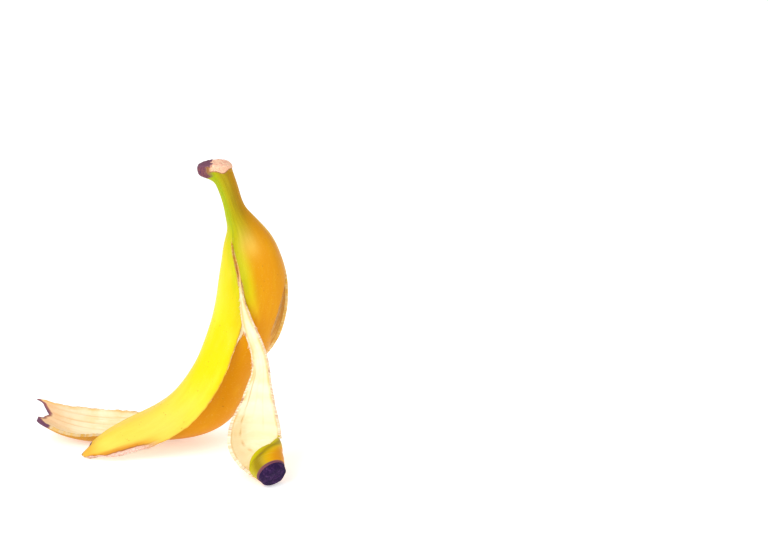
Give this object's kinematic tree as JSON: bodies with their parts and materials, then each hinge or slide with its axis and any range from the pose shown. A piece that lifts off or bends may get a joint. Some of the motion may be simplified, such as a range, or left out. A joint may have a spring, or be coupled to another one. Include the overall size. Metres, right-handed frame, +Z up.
{
  "type": "banana peel",
  "caption": "Emptied banana peel standing stem up, its skin torn into curling strips that splay to the floor.",
  "frame": {"origin": "middle of the footprint, on the floor that the strips rest on", "axes": "+Z up towards the stem, +X to the right and -Y towards the viewer in the picture"},
  "size_m": [0.1321, 0.1388, 0.1485],
  "materials": {
    "banana_skin": "satin yellow skin with a matt cream inside, green and ochre stem, dark blossom end"
  },
  "bodies": {
    "root": {"peel": "banana_skin"}
  },
  "joints": []
}
